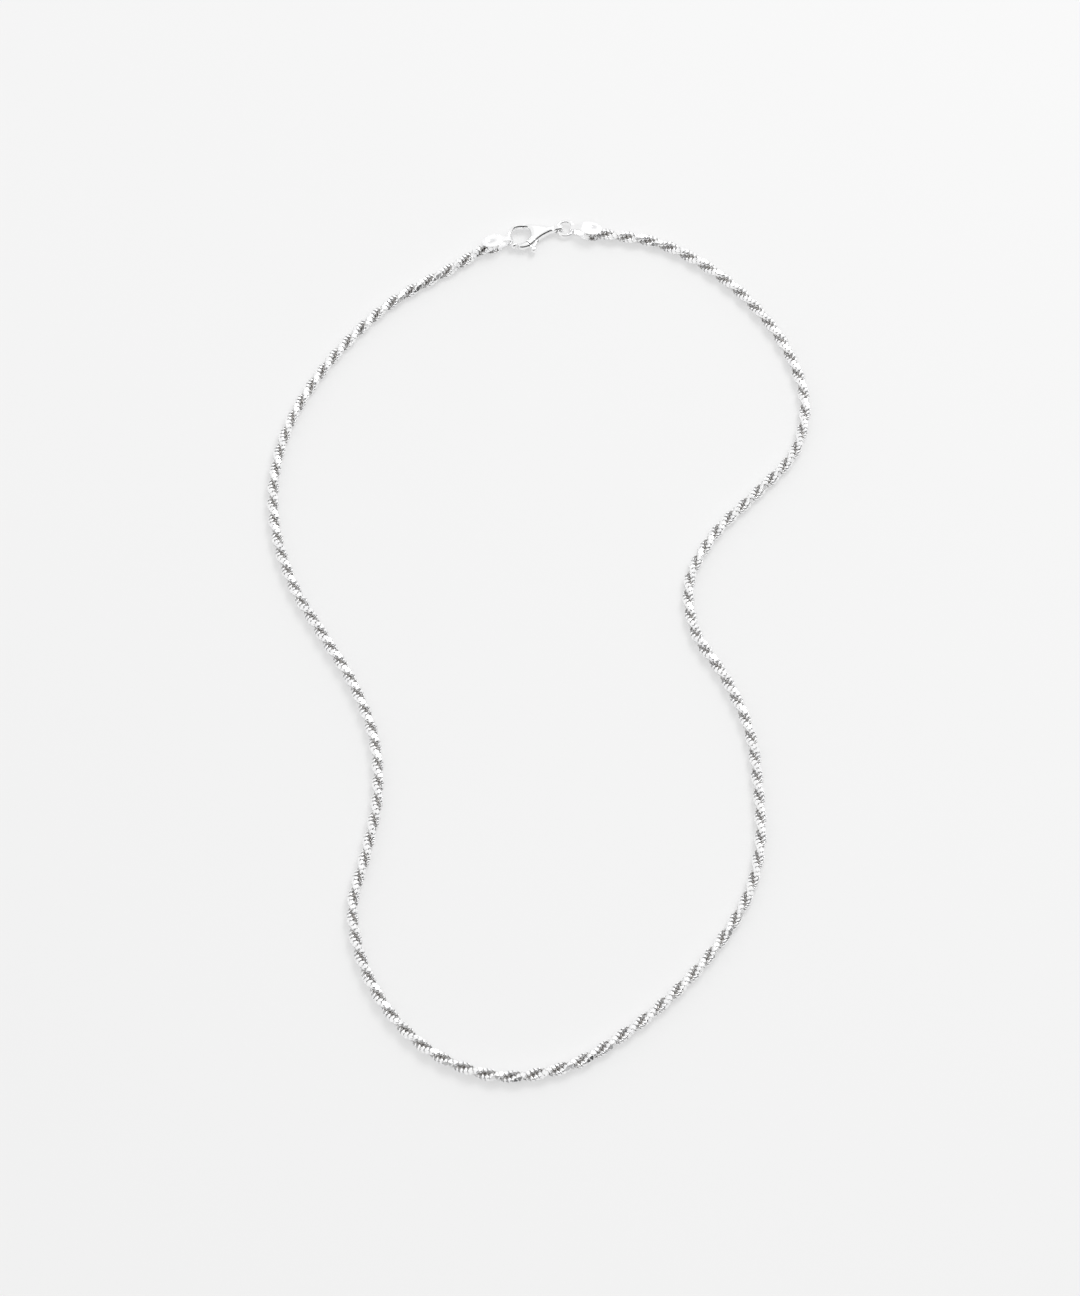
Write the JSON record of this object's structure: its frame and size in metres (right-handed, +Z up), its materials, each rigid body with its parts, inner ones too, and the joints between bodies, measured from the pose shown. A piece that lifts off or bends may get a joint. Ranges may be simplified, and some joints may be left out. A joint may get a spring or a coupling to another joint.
{
  "type": "rope chain necklace",
  "caption": "Silver diamond-cut rope chain necklace lying closed in a loose S-shaped loop, with folded end caps, a lobster clasp with a sprung lever and a jump ring.",
  "frame": {"origin": "middle of the whole necklace's box in the plan, at the level of the surface that it lies on", "axes": "+Y runs along the necklace's length towards the clasp, +X to the right of someone who looks along +Y, +Z up from the surface"},
  "size_m": [0.1139, 0.1936, 0.0031],
  "materials": {
    "rope_silver": "bright silver links with flat diamond-cut faces",
    "cap_silver": "polished silver sheet",
    "clasp_silver": "polished cast silver",
    "pin_silver": "filed flush silver rivet",
    "ring_silver": "polished silver wire"
  },
  "bodies": {
    "necklace": {"rope_chain": "rope_silver", "end_cap_left": "cap_silver", "end_cap_right": "cap_silver", "clasp_body": "clasp_silver", "clasp_pin": "pin_silver", "jump_ring": "ring_silver"},
    "lever": {"clasp_lever": "clasp_silver"}
  },
  "joints": [
    {"name": "lever_hinge", "type": "hinge", "parent": "necklace", "child": "lever", "pos_m": [-0.00181, 0.09129, 0.00115], "axis": [0, 0, -1], "range_deg": [0, 25], "stiffness_Nm_per_rad": 0.002, "springref_deg": -17.19}
  ]
}
